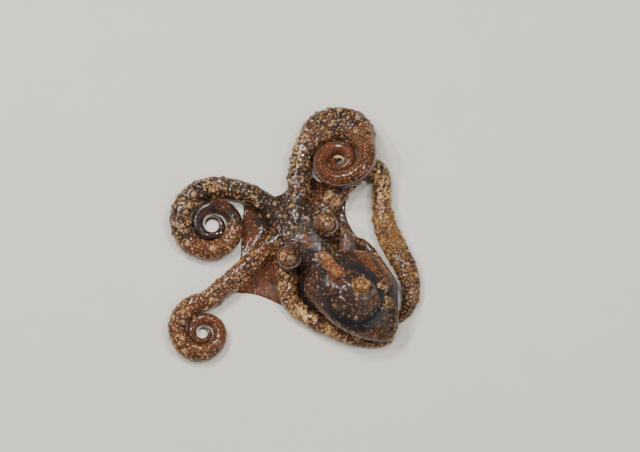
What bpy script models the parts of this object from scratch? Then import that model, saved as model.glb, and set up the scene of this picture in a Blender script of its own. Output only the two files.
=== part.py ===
"""A small reef octopus at rest on the sea floor, life size, as a still museum model.

It lies flat and faces up-left as seen from above: HEADING is the way its head points. The arms are
tapered tubes that follow routes on the floor, and two of them end in large flat coils. Lengths are in
millimetres until a mesh is made, the floor is at z = 0 and the origin is at the middle of the base.
"""

import math

import bmesh
import bpy
from mathutils import Vector

MM = 0.001
GAP = 0.3  # between neighbouring pieces
SHARP_EDGE = math.radians(60)  # an edge that turns more than this is shaded sharp
BASE_MIDDLE = Vector((-1.4, -7.03, 0))  # the middle of the whole animal's base: the origin is moved here

# The body: its own axes are u, backwards along the animal, v, to its right, and z, up.
HEADING = math.radians(133)
HEAD_CENTRE = (6.0, -16.4)
FORWARD = Vector((math.cos(HEADING), math.sin(HEADING), 0))
RIGHT = Vector((math.sin(HEADING), -math.cos(HEADING), 0))

NECK = 13.5  # u of the cut between the head and the mantle
# Sections of the head and of the mantle: u, middle v, half width, lowest z, highest z and lean, which
# is how far the back stands to the right of the belly.
HEAD_SECTIONS = (
    (-9.6, 0.0, 6.5, 12.6, 15.8, 0.0),
    (-8.4, 0.0, 11.6, 11.4, 18.8, 0.0),
    (-5.0, 0.0, 14.2, 10.8, 20.6, 0.0),
    (0.0, 0.0, 15.0, 10.5, 21.4, 0.0),
    (5.0, 0.0, 13.6, 10.5, 20.9, 0.0),
    (9.5, -0.3, 11.8, 10.5, 19.8, 0.0),
    (NECK - GAP / 2, -0.7, 11.7, 10.4, 19.4, 0.0),
)
MANTLE_SECTIONS = (
    (NECK + GAP / 2, -0.7, 11.7, 10.4, 19.4, 0.0),
    (18.0, -2.2, 17.2, 9.8, 21.8, 0.0),
    (23.5, -1.2, 20.8, 8.8, 25.2, -0.8),
    (30.5, 0.8, 23.6, 7.6, 27.4, -2.4),
    (38.5, 1.5, 24.5, 7.0, 28.6, -4.0),
    (47.5, 1.2, 23.6, 6.8, 28.8, -5.5),
    (56.5, 1.0, 20.8, 7.2, 26.2, -4.6),
    (64.5, 0.1, 16.0, 7.8, 21.2, -3.0),
    (70.5, -0.6, 10.6, 7.8, 16.4, -1.0),
    (74.4, -1.2, 6.0, 8.0, 12.6, 0.0),
    (76.2, -1.4, 2.4, 8.8, 10.4, 0.0),
)
BODY_WAIST = 0.34  # how high up its section is widest
BODY_SIDES = 18
FINGER_SIDES = 10
FINGER_END = (35, 65)  # degrees up the rounded end at which it has a ring
# Fingers and warts that stand on the mantle: base (u, v, z), tip (u, v, z), half width at base and tip.
PAPILLAE = (
    ((33.5, -1.6, 26.0), (11.4, -1.4, 29.4), 4.4, 3.8),
    ((44.6, 3.2, 25.0), (43.6, 3.4, 32.0), 7.2, 3.8),
    ((36.6, -9.6, 24.0), (36.0, -10.6, 30.4), 3.8, 1.2),
    ((58.6, 8.5, 17.0), (59.1, 10.5, 23.6), 4.0, 1.2),
)

EYE_RADIUS = 4.6
EYE_CENTRE = (1.9, 15.1, 21.4)  # u, v, z of the right eye
EYE_RINGS = 8
TURRET_RADIUS = 7.8
TURRET_CENTRE = (0.5, 14.8, 18.3)
TURRET_RINGS = 7

FUNNEL_BASE, FUNNEL_MOUTH = (19.5, 14.5, 15.0), (10.6, 22.6, 15.8)
FUNNEL_RADII = (5.6, 4.4)
FUNNEL_BORE = 2.7
FUNNEL_DEPTH = 6.0
FUNNEL_SIDES = 12

# The crown that the arms grow from: a low dome under the head.
CROWN_CENTRE = Vector((3.0, -8.0, 0))
CROWN_PROFILE = ((22.0, 0.0), (23.0, 3.0), (21.5, 6.5), (16.0, 10.0), (9.0, 12.2), (3.0, 13.0))
CROWN_SIDES = 24

# The arms.
ARM_SIDES = 8
ARM_WIDEN = 1.04  # makes up for the flats of an eight-sided ring
ARM_TIP = 0.5  # half width
ARM_TAPER = 58.0  # the half width comes within a third of the root's in this length from the tip
NO_STRAP = (0.0, 1.0, 0.0)
# Where an arm spreads into a strap: the length from its root, how far that reaches and how much wider.
ARM_STRAPS = {"arm_r1": (74.0, 20.0, 0.60), "arm_r2": (118.0, 32.0, 0.56)}
ARM_FLATNESS = 0.9  # half height over thickness
ARM_REST = 0.8  # height of the middle over thickness: below that the arm is pressed flat
RING_STEP = 0.9  # between rings, over the half width
RING_TURN = math.radians(34)
THIN_STEP, LEAST_STEP = 2.9, 1.1
ARM_START, ARM_STRAIGHT = 9.0, 20.0  # from the crown's centre, to where the arm is clear of its neighbours
MOST_TURN = math.radians(100)  # a length of arm bends no more than this unless it is shorter than LEAST_LENGTH
LEAST_LENGTH, MOST_LENGTH = 24.0, 54.0
COIL_STEP = 30  # degrees between the points of a coil
COIL_GAP = 0.45  # between its turns


def arm_half_width(root_width, from_tip):
    return ARM_TIP + (root_width - ARM_TIP) * (1 - math.exp(-max(from_tip, 0) / ARM_TAPER))


def coil(root_width, centre, start, sense, turns, core, lift=0.0, slope=0.0, slope_to=0.0):
    """Points (x, y, lift) of a flat coil that starts at the angle start, in degrees, and winds inwards.

    It is laid from the tip outwards, round a core, so that each turn touches the one inside it. Its
    plane is lift above its rest and rises by slope towards slope_to.
    """
    per_turn = 360 // COIL_STEP
    outwards = ARM_TIP
    for _ in range(6):
        outwards = ARM_TIP + arm_half_width(root_width, 2 * math.pi * (core + outwards / 2)) + COIL_GAP
    run, laid = 0.0, []
    for step in range(round(turns * per_turn) + 1):
        width = arm_half_width(root_width, run)
        if step < per_turn:
            radius = core + outwards * step / per_turn
        else:
            inner_radius, inner_width = laid[step - per_turn]
            radius = inner_radius + inner_width + width + COIL_GAP
        laid.append((radius, width))
        run += radius * math.radians(COIL_STEP)
    rise = Vector((math.cos(math.radians(slope_to)), math.sin(math.radians(slope_to)))) * slope
    points = []
    for step, (radius, _) in enumerate(reversed(laid)):
        angle = math.radians(start + sense * step * COIL_STEP)
        arm = Vector((math.cos(angle), math.sin(angle))) * radius
        points.append((centre[0] + arm.x, centre[1] + arm.y, max(0.0, lift + arm.dot(rise))))
    return points


# Each arm: the way it leaves the crown in degrees, its half width there, and its route in (x, y) or
# (x, y, lift), where lift is how far it is raised off the floor.
ARMS = {
    "arm_r1": (
        98,
        7.3,
        [(1, 21), (1.7, 33), (4.6, 45), (10.0, 53.8), (17.3, 59.5), (25.8, 61.2), (33.5, 58.6, 1.5), (38.9, 51.4, 5)]
        + coil(7.3, (25.4, 36.2), 15, -1, 2.25, 1.7, lift=8.2, slope=0.42, slope_to=-45),
    ),
    "arm_r2": (
        50,
        7.0,
        [(22.4, 15.4), (28.2, 23), (35, 29.5), (42, 33.6), (48.4, 31.6), (51, 25), (50.8, 12)]
        + [(51.9, 1), (55, -9), (60, -19), (64.7, -28), (67.6, -37.5), (67.7, -47.5), (64.2, -56.2)]
        + [(58, -61), (51, -61.5), (46, -57.5), (47.5, -53.5)],
    ),
    "arm_r3": (
        5,
        6.0,
        [(31.8, -11), (40.3, -14.6), (47.4, -22.2), (51.9, -31), (53.4, -39), (52, -45.5), (46.5, -48)]
        + [(41, -45.5)],
    ),
    "arm_r4": (
        325,
        5.6,
        [(26.2, -24.9), (36, -29.4), (40, -35.2), (38.4, -41.6), (31.3, -42), (24, -37.9), (20.6, -32.8)],
    ),
    "arm_l4": (
        287,
        5.6,
        [(13, -37.1), (18.4, -47.2), (24.4, -57.6), (31.6, -62.5), (38, -62), (40, -57.5)],
    ),
    "arm_l3": (
        247,
        6.8,
        [(-5.5, -37), (-4, -49), (6, -58.5), (20, -66.5), (34, -72.2), (46, -74.2), (53.6, -72.8)]
        + [(56.2, -69), (52, -66.6), (44, -67.4), (37, -66.4)],
    ),
    "arm_l2": (
        200,
        6.8,
        [(-26, -25), (-36, -34), (-45.5, -42.5), (-53.5, -48.6)]
        + coil(6.8, (-56, -68), 110, 1, 2.25, 2.2),
    ),
    "arm_l1": (
        141,
        7.0,
        [(-17.5, 10), (-27, 16), (-38, 19.8)]
        + coil(7.0, (-51, -1.4), 90, 1, 2.333, 3.5),
    ),
}
# The web between neighbouring arms: how far it runs along each, and how deep its edge dips between them.
WEBS = (
    ("arm_r3", "arm_r2", 30, 38, 0.25),
    ("arm_r2", "arm_r1", 34, 36, 0.15),
    ("arm_r1", "arm_l1", 32, 34, 0.30),
    ("arm_l1", "arm_l2", 35, 37, 0.0),
    ("arm_l2", "arm_l3", 54, 45, 0.15),
    ("arm_l3", "arm_l4", 57, 46, 0.06),
    ("arm_l4", "arm_r4", 25, 25, 0.18),
    ("arm_r4", "arm_r3", 26, 28, 0.20),
)
WEB_STEPS, WEB_ACROSS = 7, 8
CUT_LENGTH = 110.0  # how much of an arm can touch the web
WEB_ROOT, WEB_EDGE = 6.4, 2.2  # height of its top at the crown and at its free edge
WEB_SAG = 0.35  # how much lower the middle is than the sides

SKIN = ("octopus_skin", (0.10, 0.045, 0.022), 0.35)
WEB_SKIN = ("octopus_web", (0.22, 0.09, 0.03), 0.35)
EYE = ("octopus_eye", (0.30, 0.18, 0.06), 0.1)


def clear_scene():
    for obj in list(bpy.data.objects):
        bpy.data.objects.remove(obj)


def material(look):
    """One material for each look, shared by every piece that has it."""
    name, colour, roughness = look
    made = bpy.data.materials.get(name)
    if made is None:
        made = bpy.data.materials.new(name)
        made.use_nodes = True
        shader = made.node_tree.nodes["Principled BSDF"]
        shader.inputs["Base Color"].default_value = (*colour, 1)
        shader.inputs["Roughness"].default_value = roughness
        shader.inputs["Metallic"].default_value = 0
    return made


def body_point(u, v, z):
    """A point of the body's own axes in the model's."""
    return Vector((*HEAD_CENTRE, z)) - FORWARD * u + RIGHT * v


def finish_mesh(name, mesh, look, helper):
    """Makes the object. A helper only cuts others: it isn't rendered."""
    bmesh.ops.recalc_face_normals(mesh, faces=mesh.faces)
    bmesh.ops.translate(mesh, vec=-BASE_MIDDLE, verts=mesh.verts)
    bmesh.ops.scale(mesh, vec=(MM, MM, MM), verts=mesh.verts)
    data = bpy.data.meshes.new(name)
    mesh.to_mesh(data)
    mesh.free()
    data.shade_smooth()
    data.set_sharp_from_angle(angle=SHARP_EDGE)
    data.materials.append(material(look))
    obj = bpy.data.objects.new(name, data)
    bpy.context.scene.collection.objects.link(obj)
    if helper:
        obj.hide_render = True
        obj.display_type = "WIRE"
    return obj


def skin_rings(name, rings, look, helper=False):
    """A closed solid through rings of points, with a flat cap at either end."""
    mesh = bmesh.new()
    rows = [[mesh.verts.new(point) for point in ring] for ring in rings]
    for first, second in zip(rows, rows[1:]):
        count = len(first)
        for i in range(count):
            j = (i + 1) % count
            mesh.faces.new((first[i], first[j], second[j], second[i]))
    mesh.faces.new(reversed(rows[0]))
    mesh.faces.new(rows[-1])
    return finish_mesh(name, mesh, look, helper)


def ball(name, centre, radius, rings, look, helper=False):
    mesh = bmesh.new()
    bmesh.ops.create_uvsphere(mesh, u_segments=2 * rings, v_segments=rings, radius=radius)
    bmesh.ops.translate(mesh, vec=centre, verts=mesh.verts)
    return finish_mesh(name, mesh, look, helper)


def turned(name, axis, stations, sides, look, helper=False):
    """A solid of circles round an axis: each station is a circle's centre and radius."""
    side = axis.cross(Vector((0, 0, 1)) if abs(axis.z) < 0.9 else Vector((1, 0, 0))).normalized()
    up = side.cross(axis)
    turns = [2 * math.pi * i / sides for i in range(sides)]
    rings = []
    for centre, radius in stations:
        rings.append([centre + (side * math.cos(t) + up * math.sin(t)) * radius for t in turns])
    return skin_rings(name, rings, look, helper)


def finger(name, base, tip, base_radius, tip_radius, look):
    """A tapered papilla with a rounded end, to be joined to the body it stands on."""
    axis = (tip - base).normalized()
    stations = [(base, base_radius), (tip - axis * tip_radius, tip_radius)]
    for angle in FINGER_END:
        turn = math.radians(angle)
        stations.append((tip - axis * tip_radius * (1 - math.sin(turn)), tip_radius * math.cos(turn)))
    return turned(name, axis, stations, FINGER_SIDES, look, helper=True)


def boolean(obj, operation, other):
    """Joins another body to the object, or cuts it away."""
    modifier = obj.modifiers.new(operation.lower(), "BOOLEAN")
    modifier.operation = operation
    modifier.object = other
    modifier.solver = "EXACT"


# ---- the arms


def spline(points, steps=12):
    """A smooth line through the points (Catmull-Rom), as many short straights."""
    ends = [points[0] * 2 - points[1], *points, points[-1] * 2 - points[-2]]
    line = []
    for a, b, c, d in zip(ends, ends[1:], ends[2:], ends[3:]):
        for i in range(steps):
            t = i / steps
            line.append(
                0.5 * (b * 2 + (c - a) * t + (a * 2 - b * 5 + c * 4 - d) * t**2 + (b * 3 - a - c * 3 + d) * t**3)
            )
    return [*line, points[-1]]


class Arm:
    """An arm's centre line by length from its root, with its half width."""

    def __init__(self, name):
        heading, self.root_width, route = ARMS[name]
        turn = math.radians(heading)
        way = Vector((math.cos(turn), math.sin(turn), 0))
        start = [CROWN_CENTRE + way * ARM_START, CROWN_CENTRE + way * ARM_STRAIGHT]
        points = start + [Vector((*p, 0)[:3]) for p in route]
        self.line = spline(points)
        self.run = [0.0]
        for a, b in zip(self.line, self.line[1:]):
            self.run.append(self.run[-1] + (b - a).length)
        self.length = self.run[-1]
        self.strap = ARM_STRAPS.get(name, NO_STRAP)

    def thickness(self, at):
        return arm_half_width(self.root_width, self.length - at)

    def half_width(self, at):
        middle, reach, more = self.strap
        return self.thickness(at) * (1 + more * math.exp(-(((at - middle) / reach) ** 4)))

    def on_floor(self, at):
        """The route's own point at this length, without the arm's thickness."""
        at = min(max(at, 0), self.length)
        i = next(k for k in range(1, len(self.run)) if self.run[k] >= at)
        share = (at - self.run[i - 1]) / (self.run[i] - self.run[i - 1])
        return self.line[i - 1].lerp(self.line[i], share)

    def middle(self, at):
        return self.on_floor(at) + Vector((0, 0, ARM_REST * self.thickness(at)))

    def tangent(self, at):
        return (self.middle(at + 0.5) - self.middle(at - 0.5)).normalized()

    def ring(self, at, extra=0.0):
        """The arm's section: an ellipse, pressed flat where it would go through the floor."""
        tangent = self.tangent(at)
        side = Vector((tangent.y, -tangent.x, 0)).normalized()
        up = side.cross(tangent)
        width = self.half_width(at) * ARM_WIDEN + extra
        height = self.thickness(at) * ARM_WIDEN * ARM_FLATNESS + extra
        points = []
        for i in range(ARM_SIDES):
            turn = 2 * math.pi * (i + 0.5) / ARM_SIDES
            point = self.middle(at) + side * math.cos(turn) * width + up * math.sin(turn) * height
            point.z = max(point.z, -extra)
            points.append(point)
        return points

    def stations(self, start, end):
        """Lengths at which to put a ring, closer together where the arm is thin or tightly bent."""
        places = [start]
        while places[-1] < end - LEAST_STEP / 2:
            at = places[-1]
            step = max(THIN_STEP, RING_STEP * self.thickness(at))
            turn = self.tangent(at).angle(self.tangent(min(at + step, end)), 0)
            places.append(at + max(LEAST_STEP, step * min(1, RING_TURN / max(turn, 0.01))))
        fit = (end - start) / (places[-1] - start)
        return [start + (at - start) * fit for at in places]

    def cuts(self):
        """Where the arm is parted, so that no length of it closes round a space."""
        places, last, turned, was = [], 0.0, 0.0, self.tangent(0.5)
        at = 1.0
        while at < self.length:
            now = self.tangent(at)
            turned += now.angle(was, 0)
            was = now
            long_enough = at - last >= LEAST_LENGTH and self.length - at >= LEAST_LENGTH
            if long_enough and (turned > MOST_TURN or at - last > MOST_LENGTH):
                places.append(at)
                last, turned = at, 0.0
            at += 1.0
        return places

    def tube(self, name, start, end, extra=0.0, helper=False):
        rings = [self.ring(at, extra) for at in self.stations(start, end)]
        return skin_rings(name, rings, SKIN, helper)


def build_arm(name, arm, crown_space):
    """The arm's lengths, numbered from the crown. The first is cut back to the crown's surface."""
    places = [0.0, *arm.cuts(), arm.length]
    for number, (start, end) in enumerate(zip(places, places[1:]), 1):
        first, last = number == 1, number == len(places) - 1
        piece = arm.tube(
            f"{name}_{number}",
            start if first else start + GAP / 2,
            end if last else end - GAP / 2,
        )
        if first:
            boolean(piece, "DIFFERENCE", crown_space)


# ---- the crown and the web


def build_crown(name, extra=0.0, helper=False):
    rings = []
    profile = [(CROWN_PROFILE[0][0], -extra), *CROWN_PROFILE]
    for radius, z in profile[extra == 0 :]:
        wide = radius + extra
        turns = [2 * math.pi * i / CROWN_SIDES for i in range(CROWN_SIDES)]
        lift = extra if z > 0 else 0
        rings.append([CROWN_CENTRE + Vector((math.cos(t) * wide, math.sin(t) * wide, z + lift)) for t in turns])
    return skin_rings(name, rings, SKIN, helper)


def build_web(arms, first, second, reach_a, reach_b, dip):
    """A thin fan between two arms, from inside the crown to its dipped free edge."""
    name = f"web_{first[4:]}_{second[4:]}"
    mesh = bmesh.new()
    tops, floors = [], []
    for i in range(WEB_STEPS + 1):
        top_row, floor_row = [], []
        for j in range(WEB_ACROSS + 1):
            across = j / WEB_ACROSS
            middle = 4 * across * (1 - across)
            share = i / WEB_STEPS * (1 - dip * middle)
            point = arms[first].on_floor(reach_a * share).lerp(arms[second].on_floor(reach_b * share), across)
            height = WEB_ROOT + (WEB_EDGE - WEB_ROOT) * (i / WEB_STEPS)
            top_row.append(mesh.verts.new((point.x, point.y, height * (1 - WEB_SAG * middle))))
            floor_row.append(mesh.verts.new((point.x, point.y, 0)))
        tops.append(top_row)
        floors.append(floor_row)
    for i in range(WEB_STEPS):
        for j in range(WEB_ACROSS):
            mesh.faces.new((tops[i][j], tops[i][j + 1], tops[i + 1][j + 1], tops[i + 1][j]))
            mesh.faces.new((floors[i][j], floors[i + 1][j], floors[i + 1][j + 1], floors[i][j + 1]))
    border = [(0, j) for j in range(WEB_ACROSS)] + [(i, WEB_ACROSS) for i in range(WEB_STEPS)]
    border += [(WEB_STEPS, j) for j in range(WEB_ACROSS, 0, -1)] + [(i, 0) for i in range(WEB_STEPS, 0, -1)]
    for (i, j), (k, m) in zip(border, border[1:] + border[:1]):
        mesh.faces.new((tops[i][j], tops[k][m], floors[k][m], floors[i][j]))
    return finish_mesh(name, mesh, WEB_SKIN, False)


# ---- the head and the mantle


def loft(name, sections, look):
    """A body through upright oval sections across the animal."""
    rings = []
    for u, v, half_width, low, high, lean in sections:
        waist = low + (high - low) * BODY_WAIST
        ring = []
        for i in range(BODY_SIDES):
            turn = 2 * math.pi * (i + 0.5) / BODY_SIDES
            across = math.cos(turn) * half_width + lean * max(math.sin(turn), 0)
            tall = high - waist if math.sin(turn) > 0 else waist - low
            ring.append(body_point(u, v + across, waist + math.sin(turn) * tall))
        rings.append(ring)
    return skin_rings(name, rings, look)


def build_funnel(name, extra=0.0, helper=False):
    """The siphon: a short tapered spout, open at its mouth. The helper is its outside without the bore."""
    base, mouth = body_point(*FUNNEL_BASE), body_point(*FUNNEL_MOUTH)
    axis = (mouth - base).normalized()
    stations = [(base - axis * extra, FUNNEL_RADII[0] + extra), (mouth + axis * extra, FUNNEL_RADII[1] + extra)]
    if not helper:
        stations.append((mouth, FUNNEL_BORE))
        stations.append((mouth - axis * FUNNEL_DEPTH, FUNNEL_BORE))
    return turned(name, axis, stations, FUNNEL_SIDES, SKIN, helper)


def build_head(crown_space):
    """The head with an eye in a raised turret on either side."""
    head = loft("head", HEAD_SECTIONS, SKIN)
    for side, sign in (("right", 1), ("left", -1)):
        u, v, z = TURRET_CENTRE
        centre = body_point(u, v * sign, z)
        turret = ball(f"cut_turret_{side}", centre, TURRET_RADIUS, TURRET_RINGS, SKIN, helper=True)
        boolean(head, "UNION", turret)
    for side, sign in (("right", 1), ("left", -1)):
        u, v, z = EYE_CENTRE
        centre = body_point(u, v * sign, z)
        ball(f"eye_{side}", centre, EYE_RADIUS, EYE_RINGS, EYE)
        socket = ball(f"cut_eye_{side}", centre, EYE_RADIUS + GAP, TURRET_RINGS, SKIN, helper=True)
        boolean(head, "DIFFERENCE", socket)
    boolean(head, "DIFFERENCE", crown_space)
    return head


def build_mantle():
    """The bag behind the head, with its large papillae."""
    mantle = loft("mantle", MANTLE_SECTIONS, SKIN)
    for number, (base, tip, wide, narrow) in enumerate(PAPILLAE, 1):
        papilla = finger(f"cut_papilla_{number}", body_point(*base), body_point(*tip), wide, narrow, SKIN)
        boolean(mantle, "UNION", papilla)
    return mantle


def main():
    clear_scene()
    arms = {name: Arm(name) for name in ARMS}
    build_crown("arm_crown")
    crown_space = build_crown("cut_crown", GAP, helper=True)
    arm_spaces = {}
    for name, arm in arms.items():
        build_arm(name, arm, crown_space)
        arm_spaces[name] = arm.tube(f"cut_{name}", 0, min(arm.length, CUT_LENGTH), GAP, helper=True)
    for first, second, *shape in WEBS:
        web = build_web(arms, first, second, *shape)
        for other in (crown_space, arm_spaces[first], arm_spaces[second]):
            boolean(web, "DIFFERENCE", other)
    head = build_head(crown_space)
    mantle = build_mantle()
    build_funnel("funnel")
    funnel_space = build_funnel("cut_funnel", GAP, helper=True)
    for body in (head, mantle):
        boolean(body, "DIFFERENCE", funnel_space)


main()
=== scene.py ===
"""The looks of the octopus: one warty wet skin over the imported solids, its suckers and its eyes.

The skin is found as the surface of a field of distances, in which the arms, the web, the head and the
mantle melt together. Lengths are in millimetres in the model's own axes until a mesh is made, where
place() moves them to the frame. u runs backwards along the body, v to its right and z up.
"""

import math

import bmesh
import bpy
import numpy as np
from mathutils import Matrix, Vector
from mathutils.kdtree import KDTree


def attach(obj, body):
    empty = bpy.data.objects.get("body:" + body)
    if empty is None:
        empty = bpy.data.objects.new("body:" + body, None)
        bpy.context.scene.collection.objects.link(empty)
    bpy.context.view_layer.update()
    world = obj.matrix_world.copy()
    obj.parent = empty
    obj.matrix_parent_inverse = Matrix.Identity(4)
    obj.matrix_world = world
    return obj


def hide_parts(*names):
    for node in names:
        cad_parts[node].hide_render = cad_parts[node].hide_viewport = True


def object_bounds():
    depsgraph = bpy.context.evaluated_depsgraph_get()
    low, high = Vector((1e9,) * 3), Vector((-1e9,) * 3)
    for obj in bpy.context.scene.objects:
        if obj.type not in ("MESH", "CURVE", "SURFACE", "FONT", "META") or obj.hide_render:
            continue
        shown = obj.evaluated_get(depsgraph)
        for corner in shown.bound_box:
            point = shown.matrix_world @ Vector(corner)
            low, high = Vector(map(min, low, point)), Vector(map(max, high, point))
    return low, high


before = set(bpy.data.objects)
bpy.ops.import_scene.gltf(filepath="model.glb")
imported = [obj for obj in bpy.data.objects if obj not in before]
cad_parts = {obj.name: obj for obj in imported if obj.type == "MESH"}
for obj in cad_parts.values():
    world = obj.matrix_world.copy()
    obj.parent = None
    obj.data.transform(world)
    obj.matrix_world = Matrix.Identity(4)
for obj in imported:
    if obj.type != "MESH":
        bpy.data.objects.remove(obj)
cad_low, cad_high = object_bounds()

MM = 0.001
BASE_MIDDLE = np.array((-1.4, -7.03, 0.0))  # where the frame's origin is in the model's own axes


def turned(angle):
    """The level direction at an angle."""
    return np.array((math.cos(angle), math.sin(angle)))


# The body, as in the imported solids.
HEADING = math.radians(133)
HEAD_CENTRE = np.array((6.0, -16.4))
FORWARD = turned(HEADING)
RIGHT = np.array((FORWARD[1], -FORWARD[0]))
# Sections: u, middle v, half width, lowest z, highest z and lean.
HEAD_SECTIONS = (
    (-9.8, 0.0, 6.5, 12.4, 15.8, 0.0),
    (-8.4, 0.0, 11.6, 11.2, 18.8, 0.0),
    (-5.0, 0.0, 14.0, 10.4, 20.4, 0.0),
    (0.0, 0.0, 14.4, 10.0, 20.9, 0.0),
    (5.0, 0.0, 12.8, 10.0, 20.2, 0.0),
    (9.5, -0.3, 10.9, 10.2, 19.2, 0.0),
    (13.5, -0.6, 10.6, 10.6, 18.6, 0.0),
    (22.0, -0.6, 10.4, 11.0, 18.2, 0.0),
)
MANTLE_SECTIONS = (
    (13.5, -0.8, 12.4, 10.4, 19.8, 0.0),
    (18.0, -2.2, 17.2, 9.8, 21.8, 0.0),
    (23.5, -1.2, 20.8, 8.8, 25.2, -0.8),
    (30.5, 0.8, 23.6, 7.6, 27.4, -2.4),
    (38.5, 1.5, 24.5, 7.0, 28.6, -4.0),
    (47.5, 1.2, 23.6, 6.8, 28.8, -5.5),
    (56.5, 1.0, 20.8, 7.2, 26.2, -4.6),
    (64.5, 0.1, 16.0, 7.8, 21.2, -3.0),
    (70.5, -0.6, 10.5, 7.9, 16.3, -1.0),
    (74.4, -1.2, 5.9, 8.1, 12.5, 0.0),
    (76.0, -1.4, 2.2, 9.0, 10.2, 0.0),
)
BODY_WAIST = 0.34
COLLAR = 15.2  # u of the mantle's front edge, which overlaps the neck
# Fingers and warts on the mantle: base (u, v, z), tip (u, v, z), half width at base and tip.
PAPILLAE = (
    ((33.5, -1.6, 26.0), (15.2, -1.4, 28.9), 4.3, 3.8),
    ((44.6, 3.2, 25.0), (43.8, 3.4, 27.6), 6.6, 4.6),
    ((36.6, -9.6, 24.0), (36.2, -10.4, 28.2), 3.6, 1.6),
    ((58.6, 8.5, 17.0), (59.1, 10.1, 22.2), 4.0, 1.4),
)
EYE_RADIUS = 4.6
EYE_CENTRE = (1.9, 15.1, 21.4)
TURRET_RADIUS = 7.9
TURRET_CENTRE = (0.5, 14.8, 18.3)
EYE_OPENING = 3.9
EYE_GAP = 0.15  # how far an eyeball lies inside its solid
EYE_BULGE, EYE_BULGE_TURN = 0.035, 0.5  # the cornea's height over the radius, and its width as an angle
LID_RADIUS = 0.85
FUNNEL_BASE, FUNNEL_MOUTH = (19.5, 14.5, 15.0), (10.8, 22.4, 15.8)
FUNNEL_RADII = (5.6, 4.6)
FUNNEL_BORE = 2.7
FUNNEL_DEPTH = 6.0
CROWN_CENTRE = np.array((3.0, -8.0, 0.0))
CROWN_RADIUS, CROWN_HEIGHT = 22.8, 13.0
# Boxes that hold the crown, and the head and mantle: the lowest and the highest corner.
CROWN_BOX = (-24, -35, 0), (30, 19, 20)
BODY_BOX = (-24, -84, 4), (60, 14, 40)

# The arms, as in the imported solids.
ARM_TIP = 0.5
ARM_TAPER = 58.0
NO_STRAP = (0.0, 1.0, 0.0)
ARM_STRAPS = {"arm_r1": (74.0, 20.0, 0.60), "arm_r2": (118.0, 32.0, 0.56)}
ARM_FLATNESS = 0.9
ARM_REST = 0.8
ARM_START, ARM_STRAIGHT = 9.0, 20.0
COIL_STEP = 30
COIL_GAP = 0.45
WEB_UNDERSIDE = -0.22  # its height before the skin's depth is taken off
UNDERSIDE = 0.13  # height of an arm's flat underside over its half width, with the suckers below it


def arm_half_width(root_width, from_tip):
    return ARM_TIP + (root_width - ARM_TIP) * (1 - np.exp(-np.maximum(from_tip, 0) / ARM_TAPER))


def coil(root_width, centre, start, sense, turns, core, lift=0.0, slope=0.0, slope_to=0.0):
    """Points (x, y, lift) of a flat coil that starts at the angle start, in degrees, and winds inwards."""
    per_turn = 360 // COIL_STEP
    outwards = ARM_TIP
    for _ in range(6):
        outwards = ARM_TIP + arm_half_width(root_width, 2 * math.pi * (core + outwards / 2)) + COIL_GAP
    run, laid = 0.0, []
    for step in range(round(turns * per_turn) + 1):
        width = arm_half_width(root_width, run)
        radius = core + outwards * step / per_turn
        if step >= per_turn:
            inner_radius, inner_width = laid[step - per_turn]
            radius = inner_radius + inner_width + width + COIL_GAP
        laid.append((radius, width))
        run += radius * math.radians(COIL_STEP)
    rise = turned(math.radians(slope_to)) * slope
    points = []
    for step, (radius, _) in enumerate(reversed(laid)):
        arm = turned(math.radians(start + sense * step * COIL_STEP)) * radius
        points.append((*(centre + arm), max(0.0, lift + arm @ rise)))
    return points


# Each arm's heading, its half width at the root and its route over the floor: x, y and any lift.
ARMS = {
    "arm_r1": (98, 7.3, [(1, 21), (1.7, 33), (4.6, 45), (10.0, 53.8), (17.3, 59.5), (25.8, 61.2)]
        + [(33.5, 58.6, 1.5), (38.9, 51.4, 5)]
        + coil(7.3, (25.4, 36.2), 15, -1, 2.25, 1.7, lift=8.2, slope=0.42, slope_to=-45)),
    "arm_r2": (50, 7.0, [(22.4, 15.4), (28.2, 23), (35, 29.5), (42, 33.6), (48.4, 31.6), (51, 25)]
        + [(50.8, 12), (51.9, 1), (55, -9), (60, -19), (64.7, -28), (67.6, -37.5), (67.7, -47.5)]
        + [(64.2, -56.2), (58, -61), (51, -61.5), (46, -57.5), (47.5, -53.5)]),
    "arm_r3": (5, 6.0, [(31.8, -11), (40.3, -14.6), (47.4, -22.2), (51.9, -31), (53.4, -39), (52, -45.5)]
        + [(46.5, -48), (41, -45.5)]),
    "arm_r4": (325, 5.6, [(26.2, -24.9), (36, -29.4), (40, -35.2), (38.4, -41.6), (31.3, -42)]
        + [(24, -37.9), (20.6, -32.8)]),
    "arm_l4": (287, 5.6, [(13, -37.1), (18.4, -47.2), (24.4, -57.6), (31.6, -62.5), (38, -62), (40, -57.5)]),
    "arm_l3": (247, 6.8, [(-5.5, -37), (-4, -49), (6, -58.5), (20, -66.5), (34, -72.2), (46, -74.2)]
        + [(53.6, -72.8), (56.2, -69), (52, -66.6), (44, -67.4), (37, -66.4)]),
    "arm_l2": (200, 6.8, [(-26, -25), (-36, -34), (-45.5, -42.5), (-53.5, -48.6)]
        + coil(6.8, (-56, -68), 110, 1, 2.25, 2.2)),
    "arm_l1": (141, 7.0, [(-17.5, 10), (-27, 16), (-38, 19.8)] + coil(7.0, (-51, -1.4), 90, 1, 2.333, 3.5)),
}
# Webs: the arms on both sides, how far along each it reaches, and the share its free edge dips.
WEBS = (
    ("arm_r3", "arm_r2", 30, 38, 0.25),
    ("arm_r2", "arm_r1", 34, 36, 0.15),
    ("arm_r1", "arm_l1", 32, 34, 0.30),
    ("arm_l1", "arm_l2", 35, 37, 0.0),
    ("arm_l2", "arm_l3", 54, 45, 0.15),
    ("arm_l3", "arm_l4", 57, 46, 0.06),
    ("arm_l4", "arm_r4", 25, 25, 0.18),
    ("arm_r4", "arm_r3", 26, 28, 0.20),
)
WEB_ROOT, WEB_EDGE = 6.4, 2.2
WEB_SAG = 0.35

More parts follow.
